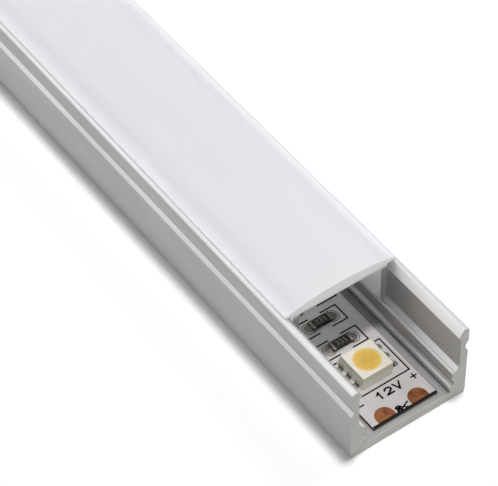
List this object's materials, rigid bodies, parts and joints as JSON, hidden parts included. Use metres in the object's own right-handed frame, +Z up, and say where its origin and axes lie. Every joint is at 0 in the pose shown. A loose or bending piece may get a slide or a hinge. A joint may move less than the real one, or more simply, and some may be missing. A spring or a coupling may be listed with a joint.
{
  "type": "led strip aluminium profile",
  "caption": "Surface-mounted aluminium U-channel with side clip grooves, a slid-back opal snap-in cover and a flexible lamp strip stuck to its floor.",
  "frame": {"origin": "middle of the underside, on the face that is fixed to a surface", "axes": "+X along the profile to the end where the cover is slid back, +Y across it, +Z up from the mounting face to the cover"},
  "size_m": [0.1518, 0.018, 0.0139],
  "materials": {
    "anodised_aluminium": "satin silver anodised, drawn along its length",
    "opal_plastic": "satin opal",
    "tape": "matt",
    "film_white": "satin white coverlay with black print",
    "copper": "bare copper",
    "solder": "dull tin",
    "lamp_white": "satin moulded",
    "phosphor": "smooth silicone",
    "tinned": "tinned",
    "resistor_black": "glazed, with white figures"
  },
  "bodies": {
    "profile": {"channel": "anodised_aluminium", "adhesive_tape": "tape", "strip_film": "film_white", "copper_pads": "copper", "solder": "solder", "led_housing_1": "lamp_white", "led_housing_2": "lamp_white", "led_housing_3": "lamp_white", "led_housing_4": "lamp_white", "led_housing_5": "lamp_white", "led_housing_6": "lamp_white", "led_housing_7": "lamp_white", "led_housing_8": "lamp_white", "led_housing_9": "lamp_white", "led_phosphor_1": "phosphor", "led_phosphor_2": "phosphor", "led_phosphor_3": "phosphor", "led_phosphor_4": "phosphor", "led_phosphor_5": "phosphor", "led_phosphor_6": "phosphor", "led_phosphor_7": "phosphor", "led_phosphor_8": "phosphor", "led_phosphor_9": "phosphor", "led_leads_1": "tinned", "led_leads_2": "tinned", "led_leads_3": "tinned", "led_leads_4": "tinned", "led_leads_5": "tinned", "led_leads_6": "tinned", "led_leads_7": "tinned", "led_leads_8": "tinned", "led_leads_9": "tinned", "resistor_1": "resistor_black", "resistor_2": "resistor_black", "resistor_3": "resistor_black", "resistor_4": "resistor_black", "resistor_5": "resistor_black", "resistor_6": "resistor_black", "resistor_7": "resistor_black", "resistor_8": "resistor_black", "resistor_9": "resistor_black", "resistor_caps_1": "tinned", "resistor_caps_2": "tinned", "resistor_caps_3": "tinned", "resistor_caps_4": "tinned", "resistor_caps_5": "tinned", "resistor_caps_6": "tinned", "resistor_caps_7": "tinned", "resistor_caps_8": "tinned", "resistor_caps_9": "tinned"},
    "cover": {"diffuser_cover": "opal_plastic"}
  },
  "joints": [
    {"name": "cover_slide", "type": "slide", "parent": "profile", "child": "cover", "axis": [1, 0, 0], "range_m": [-0.13755, 0.01415]}
  ]
}
